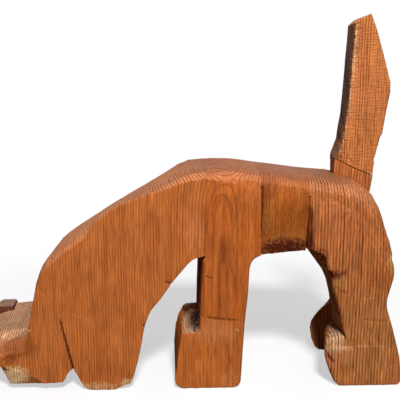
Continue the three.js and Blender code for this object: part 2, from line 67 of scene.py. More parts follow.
# The glue line's width, how near a joint's plane a face lies to be glued there, and the way
# from there over which wear sets in
GLUE_LINE = 0.06
JOINT_REACH = 0.5
JOINT_EASE = 2.0

# Half the body's width, and the y that a stroke stays nearer than on the body and on the tail
SIDE = 44.0
NEAR_SIDE = -20.0
TAIL_SIDE = -9.0

# The carved surface: the knife's hollows, slow waves, chips along the corners, raised fibres
KNIFE_HOLLOW = 11.0
WAVE_SIZE = 16.0
WAVE_DEPTH = 0.18
CHIP_SIZE = 3.2
FIBRE_RELIEF = 0.16
SHARP_EDGE = math.radians(50)

# Blender's shell factor on a face with the mesh's own small noise, and how much more it is on
# an arris
EVEN_FACE = 1.03
ARRIS = 0.3

# How far a face looks up, from 0 to 1, where a slope bleaches and where flats get painted shade
SLOPING = (0.15, 0.85)
LYING_FLAT = (0.8, 1.0)

# The share of a year's growth at which its dark summer line sets in and breaks off, and the
# line's strength in the weakest year
SUMMER_RISE = (0.46, 0.84)
SUMMER_DROP = (0.9, 1.0)
WEAKEST_YEAR = 0.45

# Spring wood of the front feet
AMBER = "C26B2D"

Socket = bpy.types.NodeSocket
Tree = bpy.types.NodeTree

log = logging.getLogger("carved_hound")


def linear(code: str) -> tuple[float, float, float, float]:
    """Turns an sRGB hex colour to linear RGBA.

    Args:
        code: Six hex digits, red first.

    Returns:
        Red, green, blue and an alpha of 1.
    """
    channels = [int(code[i : i + 2], HEX_BASE) / CHANNEL_MAX for i in (0, 2, 4)]
    curved = [c / 12.92 if c <= 0.04045 else ((c + 0.055) / 1.055) ** 2.4 for c in channels]
    return curved[0], curved[1], curved[2], 1.0


def add_node(
    tree: Tree,
    kind: str,
    settings: dict[str, Any] | None = None,
    inputs: dict[int | str, Any] | None = None,
) -> bpy.types.Node:
    """Adds a node with its settings and links.

    Args:
        tree: The node tree that gets the node.
        kind: Blender's name for the node type.
        settings: Properties of the node.
        inputs: Socket values, or the output sockets that feed them.

    Returns:
        The new node.
    """
    node = tree.nodes.new(kind)
    for name, value in (settings or {}).items():
        setattr(node, name, value)
    for socket, value in (inputs or {}).items():
        if isinstance(value, Socket):
            tree.links.new(value, node.inputs[socket])
        else:
            node.inputs[socket].default_value = value
    return node


def blank_material(name: str) -> tuple[bpy.types.Material, Tree]:
    """Makes a material with an empty node tree, and gives both."""
    made = bpy.data.materials.new(name)
    made.use_nodes = True
    made.node_tree.nodes.clear()
    return made, made.node_tree


class Tone(Enum):
    """What a mark leaves in view, as the attribute's name and its colour; some marks use them for
    painted shade and painted highlights.
    """

    LINE = ("line", "8A4418")
    # SALMON is also a painted highlight along the ear's top
    SALMON = ("salmon", "C87A4C")
    SILVER = ("silver", "CAA27E")
    OCHRE = ("ochre", "B88A4A")
    # MAROON: dark red wood in splits, scratches and specks; painted shade in the haunch's undercuts
    # and step, under the back and on the belly edge
    MAROON = ("maroon", "5A2014")
    # SHADE: dirt in knife cuts and joint lines; painted shade on the ear's outline, the haunch's
    # step and the tail's front; painted shadow on the front toe
    SHADE = ("shade", "2A1008")
    # BARE is also a painted highlight on the ledge above the hind foot
    BARE = ("bare", "F0C894")


class Pattern(Enum):
    """A cloudy pattern in the wood.

    Each has its size in mm along x, y and z, its octaves of detail, and the band of its values
    across which it shows.
    """

    WANDER = ((26.0, 26.0, 110.0), 2.0, (0.0, 1.0))
    STREAK = ((4.0, 4.0, 70.0), 3.0, (0.38, 0.66))
    FIBRE = ((0.8, 0.8, 11.0), 4.0, (0.34, 0.68))
    PORE = ((0.9, 0.9, 1.3), 1.0, (0.3, 0.6))
    WEAVE = ((3.5, 3.5, 34.0), 2.0, (0.32, 0.62))
    BLOTCH = ((15.0, 15.0, 24.0), 3.0, (0.3, 0.7))
    SAW_STROKE = ((7.0, 7.0, 0.8), 2.0, (0.35, 0.65))

    @property
    def low(self) -> float:
        """The band's lower end."""
        return self.value[2][0]

    @property
    def high(self) -> float:
        """The band's upper end."""
        return self.value[2][1]


@dataclass(frozen=True)
class Cathedral:
    """How the rings of a flat-sawn board close into arches.

    Attributes:
        rise: How far the rings lean out at the height given, in mm.
        height: That height, in mm.
        fall: Length in mm over which the lean dies away below it.
    """

    rise: float = 0.0
    height: float = 0.0
    fall: float = 1000.0


@dataclass(frozen=True)
class SawnRedwood:
    """Redwood, ripsawn and knife-cut, oiled once and left to weather.

    Growth rings run round a pith axis, so a face shows straight lines, arches or arcs as the
    block was cut. To the eye that is fine dark lines on orange brown, paler where end grain
    is bared.

    Attributes:
        name: The material's name.
        early: Colour of the pale spring wood.
        late: Colour of the dark summer line.
        flush: Colour of the redder streaks.
        end: Colour of end grain on sloping cuts.
        pith: Where the pith axis crosses the ground, x and y in mm.
        ring: Ring spacing in mm.
        phase: Shift of the rings, in rings.
        cathedral: The arches of a flat-sawn face.
        contrast: Strength of the summer line.
        drift: How far the grain wanders, in mm.
        nap: How much the fine fibres vary in brightness.
        bleach: How far the slopes are bleached towards the end colour.
        painted_top_shade: How far what lies flat is darkened, as painted shade against the key
            light.
        relief: Height of the ribs that weather leaves between summer lines, in mm.
        ripple: Height of the saw's cross marks, in mm.
        roughness: The oiled surface's roughness.
    """

    name: str
    early: str = "C26E33"
    late: str = "742F10"
    flush: str = "B4622B"
    end: str = "DCA07A"
    pith: tuple[float, float] = (19.5, -34.0)
    ring: float = 1.85
    phase: float = 0.0
    cathedral: Cathedral = Cathedral(rise=4.5, height=147.7, fall=15.0)
    contrast: float = 0.62
    drift: float = 1.6
    nap: float = 0.24
    bleach: float = 0.35
    # Painted shade: how far faces lying flat are darkened against the key light
    painted_top_shade: float = 0.42
    relief: float = 0.12
    ripple: float = 0.0
    roughness: float = 0.66

    def material(self) -> bpy.types.Material:
        """Builds the node material.

        Returns:
            The finished material.
        """
        made, tree = blank_material(self.name)
        place = self._place(tree)
        rings, streak, fibre = self._grain(tree, place)
        color = self._color(tree, place, rings, streak, fibre)
        height = self._height(tree, place, rings, fibre)
        bump = add_node(
            tree, "ShaderNodeBump", inputs={"Strength": 1.0, "Distance": MM, "Height": height}
        )
        gloss = add_node(
            tree,
            MAP_RANGE,
            inputs={0: rings, 3: self.roughness, 4: min(1.0, self.roughness + 0.12)},
        )
        shader = add_node(
            tree,
            "ShaderNodeBsdfPrincipled",
            inputs={
                "Base Color": color,
                "Roughness": gloss.outputs[0],
                "IOR": 1.5,
                "Specular IOR Level": 0.15,
                "Normal": bump.outputs[0],
            },
        )
        add_node(tree, "ShaderNodeOutputMaterial", inputs={"Surface": shader.outputs[0]})
        return made

    def _place(self, tree: Tree) -> Socket:
        """Object coordinates in millimetres."""
        coordinates = add_node(tree, "ShaderNodeTexCoord")
        scaled = add_node(
            tree,
            VECTOR_MATH,
            {"operation": "SCALE"},
            {0: coordinates.outputs["Object"], "Scale": 1 / MM},
        )
        return scaled.outputs[0]

    def _noise(self, tree: Tree, place: Socket, pattern: Pattern, output: int = 0) -> Socket:
        """Cloudy variation.

        Args:
            tree: The material's node tree.
            place: Coordinates in mm.
            pattern: Its size and detail.
            output: 0 for a value, 1 for three values.

        Returns:
            The variation, from 0 to 1.
        """
        size, detail, _ = pattern.value
        shrunk = add_node(tree, VECTOR_MATH, MULTIPLY, {0: place, 1: tuple(1 / s for s in size)})
        cloud = add_node(
            tree,
            "ShaderNodeTexNoise",
            {"noise_dimensions": "3D"},
            {"Vector": shrunk.outputs[0], "Scale": 1.0, "Detail": detail},
        )
        return cloud.outputs[output]

    def _grain(self, tree: Tree, place: Socket) -> tuple[Socket, Socket, Socket]:
        """Summer lines, broad red streaks and fine fibres.

        Args:
            tree: The material's node tree.
            place: Coordinates in mm.

        Returns:
            Three values from 0 to 1: the summer line, the streak and the fibre.
        """
        wander = self._noise(tree, place, Pattern.WANDER, output=1)
        drift = add_node(
            tree,
            VECTOR_MATH,
            MULTIPLY_ADD,
            {
                0: wander,
                1: (self.drift, self.drift, 0.0),
                2: (-self.drift / 2, -self.drift / 2, 0.0),
            },
        )
        flow = add_node(tree, VECTOR_MATH, ADD, {0: place, 1: drift.outputs[0]})
        parts = add_node(tree, "ShaderNodeSeparateXYZ", inputs={0: flow.outputs[0]})
        arch = add_node(
            tree,
            MATH,
            MULTIPLY_ADD,
            {
                0: parts.outputs[2],
                1: 1 / self.cathedral.fall,
                2: -self.cathedral.height / self.cathedral.fall,
            },
        )
        arch = add_node(tree, MATH, {"operation": "EXPONENT"}, {0: arch.outputs[0]})
        arch = add_node(
            tree,
            MATH,
            MULTIPLY_ADD,
            {0: arch.outputs[0], 1: -self.cathedral.rise, 2: -self.pith[1]},
        )
        across = add_node(
            tree, MATH, {"operation": "SUBTRACT"}, {0: parts.outputs[0], 1: self.pith[0]}
        )
        depth = add_node(tree, MATH, ADD, {0: parts.outputs[1], 1: arch.outputs[0]})
        radius = add_node(
            tree, "ShaderNodeCombineXYZ", inputs={0: across.outputs[0], 1: depth.outputs[0]}
        )
        radius = add_node(tree, VECTOR_MATH, {"operation": "LENGTH"}, {0: radius.outputs[0]})
        years = add_node(
            tree, MATH, MULTIPLY_ADD, {0: radius.outputs["Value"], 1: 1 / self.ring, 2: self.phase}
        )
        season = add_node(tree, MATH, {"operation": "FRACT"}, {0: years.outputs[0]})
        year = add_node(tree, MATH, {"operation": "FLOOR"}, {0: years.outputs[0]})
        rise = add_node(
            tree, MAP_RANGE, SMOOTH, {0: season.outputs[0], 1: SUMMER_RISE[0], 2: SUMMER_RISE[1]}
        )
        drop = add_node(
            tree,
            MAP_RANGE,
            SMOOTH,
            {0: season.outputs[0], 1: SUMMER_DROP[0], 2: SUMMER_DROP[1], 3: 1.0, 4: 0.0},
        )
        vigour = add_node(
            tree, "ShaderNodeTexWhiteNoise", {"noise_dimensions": "1D"}, {"W": year.outputs[0]}
        )
        vigour = add_node(tree, MAP_RANGE, inputs={0: vigour.outputs[0], 3: WEAKEST_YEAR, 4: 1.0})
        line = add_node(tree, MATH, MULTIPLY, {0: rise.outputs[0], 1: drop.outputs[0]})
        line = add_node(tree, MATH, MULTIPLY, {0: line.outputs[0], 1: vigour.outputs[0]})
        streak = self._noise(tree, flow.outputs[0], Pattern.STREAK)
        fibre = self._noise(tree, flow.outputs[0], Pattern.FIBRE)
        return line.outputs[0], streak, fibre

    def _color(
        self, tree: Tree, place: Socket, rings: Socket, streak: Socket, fibre: Socket
    ) -> Socket:
        """The wood's colour, bleached on slopes, darkened on flats as painted shade, with the
        marks' tones.

        Args:
            tree: The material's node tree.
            place: Coordinates in mm.
            rings: The summer line.
            streak: The broad streaks.
            fibre: The fine fibres.

        Returns:
            The base colour.
        """
        red = add_node(
            tree, MAP_RANGE, SMOOTH, {0: streak, 1: Pattern.STREAK.low, 2: Pattern.STREAK.high}
        )
        ground = add_node(
            tree, MIX, RGBA, {0: red.outputs[0], 6: linear(self.early), 7: linear(self.flush)}
        )
        facing = add_node(tree, "ShaderNodeNewGeometry")
        facing = add_node(tree, "ShaderNodeSeparateXYZ", inputs={0: facing.outputs["Normal"]})
        slope = add_node(
            tree,
            MAP_RANGE,
            SMOOTH,
            {0: facing.outputs[2], 1: SLOPING[0], 2: SLOPING[1], 4: self.bleach},
        )
        pores = self._noise(tree, place, Pattern.PORE)
        pores = add_node(
            tree,
            MAP_RANGE,
            inputs={0: pores, 1: Pattern.PORE.low, 2: Pattern.PORE.high, 3: 0.6, 4: 1.0},
        )
        pores = add_node(tree, MATH, MULTIPLY, {0: slope.outputs[0], 1: pores.outputs[0]})
        color = add_node(
            tree, MIX, RGBA, {0: pores.outputs[0], 6: ground.outputs[2], 7: linear(self.end)}
        )
        color = self._toned(tree, color, (Tone.SALMON, Tone.SILVER, Tone.OCHRE, Tone.BARE))
        weave = self._noise(tree, place, Pattern.WEAVE)
        weave = add_node(
            tree,
            MAP_RANGE,
            inputs={
                0: weave,
                1: Pattern.WEAVE.low,
                2: Pattern.WEAVE.high,
                3: 0.5 * self.contrast,
                4: self.contrast,
            },
        )
        weave = add_node(
            tree,
            MATH,
            {"operation": "ADD", "use_clamp": True},
            {0: weave.outputs[0], 1: slope.outputs[0]},
        )
        weight = add_node(tree, MATH, MULTIPLY, {0: rings, 1: weave.outputs[0]})
        color = add_node(
            tree, MIX, RGBA, {0: weight.outputs[0], 6: color.outputs[2], 7: linear(self.late)}
        )
        color = self._toned(tree, color, (Tone.LINE, Tone.MAROON, Tone.SHADE))
        blotch = self._noise(tree, place, Pattern.BLOTCH)
        blotch = add_node(
            tree,
            MAP_RANGE,
            inputs={0: blotch, 1: Pattern.BLOTCH.low, 2: Pattern.BLOTCH.high, 3: 0.89, 4: 1.11},
        )
        fine = add_node(
            tree,
            MAP_RANGE,
            inputs={
                0: fibre,
                1: Pattern.FIBRE.low,
                2: Pattern.FIBRE.high,
                3: 1.0 - self.nap,
                4: 1.0 + self.nap,
            },
        )
        # Painted shade: faces lying flat are darkened, so the key light doesn't leave tops brighter
        # than sides
        flat = add_node(
            tree,
            MAP_RANGE,
            SMOOTH,
            {0: facing.outputs[2], 1: LYING_FLAT[0], 2: LYING_FLAT[1], 3: 1.0, 4: 1.0 - self.painted_top_shade},
        )
        tint = add_node(tree, MATH, MULTIPLY, {0: fine.outputs[0], 1: blotch.outputs[0]})
        tint = add_node(tree, MATH, MULTIPLY, {0: tint.outputs[0], 1: flat.outputs[0]})
        varied = add_node(
            tree,
            VECTOR_MATH,
            {"operation": "SCALE"},
            {0: color.outputs[2], "Scale": tint.outputs[0]},
        )
        return varied.outputs[0]

    def _toned(
        self, tree: Tree, color: bpy.types.Node, tones: tuple[Tone, ...]
    ) -> bpy.types.Node:
        """Adds the tones that the marks leave.

        Args:
            tree: The material's node tree.
            color: The mix node of the colour so far.
            tones: The tones to add, lowest first.

        Returns:
            The last mix node.
        """
        for tone in tones:
            name, code = tone.value
            shown = add_node(tree, "ShaderNodeAttribute", {"attribute_name": name})
            color = add_node(
                tree, MIX, RGBA, {0: shown.outputs["Fac"], 6: color.outputs[2], 7: linear(code)}
            )
        return color

    def _height(self, tree: Tree, place: Socket, rings: Socket, fibre: Socket) -> Socket:
        """The surface's fine relief in millimetres.

        Args:
            tree: The material's node tree.
            place: Coordinates in mm.
            rings: The summer line.
            fibre: The fine fibres.

        Returns:
            Height in mm.
        """
        ribs = add_node(tree, MATH, MULTIPLY, {0: rings, 1: -self.relief})
        nap = add_node(tree, MATH, MULTIPLY_ADD, {0: fibre, 1: FIBRE_RELIEF, 2: ribs.outputs[0]})
        if self.ripple <= 0:
            return nap.outputs[0]
        strokes = self._noise(tree, place, Pattern.SAW_STROKE)
        strokes = add_node(
            tree,
            MAP_RANGE,
            SMOOTH,
            {0: strokes, 1: Pattern.SAW_STROKE.low, 2: Pattern.SAW_STROKE.high},
        )
        rippled = add_node(
            tree, MATH, MULTIPLY_ADD, {0: strokes.outputs[0], 1: self.ripple, 2: nap.outputs[0]}
        )
        return rippled.outputs[0]


class Edge(Enum):
    """What breaks up the edge of a mark, and its size along x, y and z in mm."""

    FIBRES = (1.3, 1.3, 6.0)
    CRUMBS = (1.2, 1.2, 1.5)


@dataclass(frozen=True, kw_only=True)
class Mark:
    """A mark that a tool, a split or the weather leaves; some marks are painted shade and painted
    highlights.

    Attributes:
        depth: Depth in mm.
        tone: What it leaves in view.
        strength: How strongly the tone shows.
        fray: How far its edge is broken up.
        edge: What breaks it up.
        upward: Whether it is only on what faces up.
    """

    depth: float = 0.0
    tone: Tone = Tone.SHADE
    strength: float = 0.8
    fray: float = 0.3
    edge: Edge = Edge.FIBRES
    upward: bool = False

    def share(self, places: np.ndarray) -> np.ndarray:
        """How deep each place lies in the mark, from 0 outside to 1 inside."""
        raise NotImplementedError

    def outward(self, places: np.ndarray, normals: np.ndarray) -> np.ndarray:
        """The direction out of the wood at each place."""
        return normals

    def frayed(
        self, places: np.ndarray, rises: np.ndarray, noises: dict[Edge, np.ndarray]
    ) -> np.ndarray:
        """The same share with its edge broken up.

        Args:
            places: Vertex places in mm.
            rises: How far each place faces up, from -1 to 1.
            noises: For each kind of edge, a value between about -0.5 and 0.5 for each place.

        Returns:
            One share for each place.
        """
        share = self.share(places)
        if self.upward:
            share = share * np.clip((rises - 0.6) / 0.3, 0.0, 1.0)
        broken = np.clip(share + 2.0 * self.fray * noises[self.edge], 0.0, 1.0)
        return np.where(share > 0.0, broken, 0.0)


@dataclass(frozen=True, kw_only=True)
class Stroke(Mark):
    """A stroke on the near side: knife, saw or split, and in some marks painted shade or a painted
    highlight.

    Attributes:
        path: Points of the stroke, x and z in mm.
        width: Full width in mm.
        taper: How far the width shrinks towards the far end.
        near: The stroke is only on what lies nearer than this y, in mm.
    """

    path: tuple[tuple[float, float], ...]
    width: float = 1.6
    taper: float = 0.0
    near: float = NEAR_SIDE

    def away(self, places: np.ndarray) -> np.ndarray:
        """Distance of each place from the line, 1 being the stroke's edge."""
        x, _, z = places.T
        nearest = np.full(x.shape, np.inf)
        steps = len(self.path) - 1
        for step, ((x0, z0), (x1, z1)) in enumerate(zip(self.path, self.path[1:])):
            length = (x1 - x0) ** 2 + (z1 - z0) ** 2
            along = np.clip(((x - x0) * (x1 - x0) + (z - z0) * (z1 - z0)) / length, 0.0, 1.0)
            gap = np.hypot(x - x0 - along * (x1 - x0), z - z0 - along * (z1 - z0))
            reach = self.width / 2 * (1.0 - self.taper * (step + along) / steps)
            nearest = np.minimum(nearest, gap / reach)
        return nearest

    def share(self, places: np.ndarray) -> np.ndarray:
        """How deep each place lies in the stroke, from 0 outside to 1 on its line."""
        share = np.clip(1.5 * (1.0 - self.away(places)), 0.0, 1.0)
        return share * (places[:, 1] < self.near)


@dataclass(frozen=True, kw_only=True)
class Rounding(Stroke):
    """A corner of the body that the knife rounded over, on both sides.

    Attributes:
        ease: Length in mm over which it sets in from the path's first point.
    """

    strength: float = 0.0
    fray: float = 0.0
    ease: float = 1.0

    def share(self, places: np.ndarray) -> np.ndarray:
        """How much comes off at each place, from 0 at the edges to 1 on the corner."""
        inward = (SIDE - np.abs(places[:, 1])) / (self.width / 2)
        eased = np.clip((places[:, 0] - self.path[0][0]) / self.ease, 0.0, 1.0)
        return eased * np.clip(1.0 - np.hypot(self.away(places), inward), 0.0, 1.0) ** 2

    def outward(self, places: np.ndarray, normals: np.ndarray) -> np.ndarray:
        """Straight out from the corner, alike on both blocks where a joint crosses it."""
        points = np.array(self.path)
        steps = np.diff(points, axis=0)
        middles = (points[1:, 0] + points[:-1, 0]) / 2
        turn = np.interp(places[:, 0], middles, np.arctan2(steps[:, 1], steps[:, 0]))
        out = np.stack((-np.sin(turn), np.sign(places[:, 1]), np.cos(turn)), axis=1)
        return out / math.sqrt(2.0)


@dataclass(frozen=True, kw_only=True)
class Patch(Mark):
    """A patch of torn, bared or weathered wood, and in some marks of painted shade.

    Attributes:
        center: Its middle in mm.
        radii: Its reach along x, y and z in mm.
    """

    center: tuple[float, float, float]
    radii: tuple[float, float, float]
    edge: Edge = Edge.CRUMBS

    def share(self, places: np.ndarray) -> np.ndarray:
        """How deep each place lies in the patch, from 0 outside to 1 in its middle."""
        away = np.linalg.norm((places - self.center) / self.radii, axis=1)
        return np.clip(2.0 * (1.0 - away), 0.0, 1.0)


@dataclass(frozen=True)
class Joint:
    """A glued plane across the body: a point on it and its normal, both as x and z."""

    point: tuple[float, float]
    normal: tuple[float, float] = (1.0, 0.0)

    def offset(self, places: np.ndarray) -> np.ndarray:
        """Signed distance of each place from the plane, in mm."""
        x = (places[:, 0] - self.point[0]) * self.normal[0]
        return x + (places[:, 2] - self.point[1]) * self.normal[1]


# The rounded corner along the back, the seam under the tail, and the planes of the joints
BACK_CORNER = Rounding(
    path=(
        (10, 149.8), (26, 149.4), (45, 147.4), (62, 144.9), (78.8, 142.5), (98.6, 136.6),
        (111, 130.4), (121.6, 120.5), (130, 107.5), (138, 95),
    ),
    width=34,
    depth=3.8,
    ease=32,
)
TAIL_SEAT = Stroke(
    path=((99, 161.5), (107.6, 157.2), (113.3, 154.3), (120.7, 150.9), (131, 147.7)), width=5,
    near=20,
)
NECK = Joint((7.5, 0))
WAIST = Joint((45.5, 0))
HAUNCH = Joint((78.5, 0))
ANKLE = Joint((4.2, 53.95), (0.1263, 0.992))


@dataclass
class CarvedPiece:
    """One block of the hound: the CAD solid with its tool marks, worn corners and wood.

    Attributes:
        node: The CAD node that it stands for.
        slot: The record's material slot; not used.
        wood: The finish.
        cell: Size of the carved surface's facets in mm.
        scallop: Depth of the knife's hollows on sloping cuts, in mm.
        wear: How far corners are worn back, in mm.
        glued: The joints that it is glued at.
        crisp: Strokes along which its corners aren't worn.
        marks: The marks on it.
    """

    node: str
    slot: str
    wood: SawnRedwood
    cell: float = 1.0
    scallop: float = 0.35
    wear: float = 0.5
    glued: tuple[Joint, ...] = ()
    crisp: tuple[Stroke, ...] = ()
    marks: tuple[Mark, ...] = ()

    def build(self) -> bpy.types.Object:
        """Makes the dressed piece.

        Returns:
            The finished object.
        """
        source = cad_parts[self.node]
        mesh = self._even_mesh(source)
        self._carve(mesh)
        made = bpy.data.objects.new(f"{self.node}_carved", mesh)
        bpy.context.scene.collection.objects.link(made)
        mesh.materials.clear()
        mesh.materials.append(self.wood.material())
        mesh.polygons.foreach_set("use_smooth", [True] * len(mesh.polygons))
        mesh.set_sharp_from_angle(angle=SHARP_EDGE)
        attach(made, BODY)
        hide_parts(self.node)
        log.info("%s: %d triangles", made.name, sum(len(p.vertices) - 2 for p in mesh.polygons))
        return made

    def _even_mesh(self, source: bpy.types.Object) -> bpy.types.Mesh:
        """A merged copy of the CAD solid with faces of one even size.

        Args:
            source: The CAD node's object.

        Returns:
            The remeshed copy.
        """
        blank = bmesh.new()
        blank.from_mesh(source.data)
        bmesh.ops.remove_doubles(blank, verts=blank.verts, dist=0.001 * MM)
        merged = bpy.data.meshes.new(f"{self.node}_blank")
        blank.to_mesh(merged)
        blank.free()
        holder = bpy.data.objects.new(f"{self.node}_blank", merged)
        bpy.context.scene.collection.objects.link(holder)
        longest = max(holder.dimensions) / MM
        depth = math.ceil(math.log2(longest / (0.98 * self.cell)))
        remesh = holder.modifiers.new("even", "REMESH")
        remesh.mode = "SHARP"
        remesh.octree_depth = depth
        remesh.scale = longest / (self.cell * 2**depth)
        remesh.use_remove_disconnected = False
        remesh.sharpness = 1.0
        graph = bpy.context.evaluated_depsgraph_get()
        even = bpy.data.meshes.new_from_object(holder.evaluated_get(graph))
        even.name = self.node
        bpy.data.objects.remove(holder)
        bpy.data.meshes.remove(merged)
        return even

    def _carve(self, mesh: bpy.types.Mesh) -> None:
        """Cuts, hollows and worn corners, all taken inwards from the solid.

        Args:
            mesh: The mesh to carve.
        """
        count = len(mesh.vertices)
        places = np.empty(count * 3)
        mesh.vertices.foreach_get("co", places)
        places = places.reshape(-1, 3) / MM
        normals = np.empty(count * 3)
        mesh.vertex_normals.foreach_get("vector", normals)
        normals = normals.reshape(-1, 3)
        sharpness = self._sharpness(mesh)
        self._close_joints(places, normals, sharpness)
        for stroke in self.crisp:
            sharpness *= 1.0 - stroke.share(places)
        tones = {tone: np.zeros(count) for tone in Tone}
        slope = np.clip((normals[:, 2] - 0.2) * 2.0, 0.0, 1.0)
        hollows = np.array([noise.voronoi(Vector(p) / KNIFE_HOLLOW)[0][0] for p in places])
        uneven = np.array([noise.noise(Vector(p) / WAVE_SIZE) for p in places])
        chips = np.array([noise.noise(Vector(p) / CHIP_SIZE) for p in places])
        noises = {
            edge: np.array([noise.noise(Vector(p)) for p in places / np.array(edge.value)])
            for edge in Edge
        }
        depth = self.scallop * slope * np.clip(1.0 - hollows * 1.6, 0.0, 1.0)
        depth += WAVE_DEPTH * (0.5 + 0.5 * uneven)
        depth += self.wear * sharpness * np.clip(0.35 + chips, 0.0, 1.0)
        moves = normals * depth[:, None]
        for mark in self.marks:
            share = mark.frayed(places, normals[:, 2], noises)
            moves += mark.outward(places, normals) * (mark.depth * share)[:, None]
            tones[mark.tone] = np.maximum(tones[mark.tone], mark.strength * share)
        places -= moves
        places = np.clip(places, np.array(CAD_BOX[0]) / MM, np.array(CAD_BOX[1]) / MM)
        mesh.vertices.foreach_set("co", (places * MM).astype(np.float32).ravel())
        for tone, values in tones.items():
            layer = mesh.attributes.new(tone.value[0], "FLOAT", "POINT")
            layer.data.foreach_set("value", values.astype(np.float32))
        mesh.update()

    def _close_joints(
        self, places: np.ndarray, normals: np.ndarray, sharpness: np.ndarray
    ) -> None:
        """Brings glued faces together and keeps their edges flush with the next block.

        Args:
            places: Vertex places in mm, changed in place.
            normals: Vertex normals, changed in place.
            sharpness: Corner sharpness, changed in place.
        """
        for joint in self.glued:
            offset = joint.offset(places)
            across = np.array((joint.normal[0], 0.0, joint.normal[1]))
            wanted = math.copysign(GLUE_LINE / 2, offset.mean())
            seated = np.abs(offset) < JOINT_REACH
            places[seated] += (wanted - offset[seated])[:, None] * across
            normals[seated] -= (normals[seated] @ across)[:, None] * across
            sharpness *= np.clip((np.abs(offset) - JOINT_REACH) / JOINT_EASE, 0.0, 1.0)
        lengths = np.linalg.norm(normals, axis=1, keepdims=True)
        normals /= np.maximum(lengths, 1e-6)
        normals *= np.minimum(lengths * 3.0, 1.0)

    def _sharpness(self, mesh: bpy.types.Mesh) -> np.ndarray:
        """How sharp the corner is at each vertex, from 0 on a flat face to 1 on an arris.

        Args:
            mesh: The mesh to read.

        Returns:
            One value for each vertex.
        """
        worn = bmesh.new()
        worn.from_mesh(mesh)
        values = np.array([v.calc_shell_factor() for v in worn.verts])
        worn.free()
        return np.clip((values - EVEN_FACE) / ARRIS, 0.0, 1.0)


@dataclass(frozen=True)
class TurnedBeech:
    """Beech, turned to a dowel: close pale wood with short darker flecks, hidden in the joints."""

    name: str = "turned_beech"
    pale: str = "D8B684"
    fleck: str = "B98D5A"

    def material(self) -> bpy.types.Material:
        """Builds the node material."""
        made, tree = blank_material(self.name)
        coordinates = add_node(tree, "ShaderNodeTexCoord")
        scaled = add_node(
            tree,
            VECTOR_MATH,
            MULTIPLY,
            {0: coordinates.outputs["Object"], 1: (300.0, 1400.0, 300.0)},
        )
        flecks = add_node(
            tree,
            "ShaderNodeTexNoise",
            inputs={"Vector": scaled.outputs[0], "Scale": 1.0, "Detail": 3.0},
        )
        mixed = add_node(
            tree, MIX, RGBA, {0: flecks.outputs[0], 6: linear(self.pale), 7: linear(self.fleck)}
        )
        shader = add_node(
            tree,
            "ShaderNodeBsdfPrincipled",
            inputs={"Base Color": mixed.outputs[2], "Roughness": 0.55, "IOR": 1.5},
        )
        add_node(tree, "ShaderNodeOutputMaterial", inputs={"Surface": shader.outputs[0]})
        return made


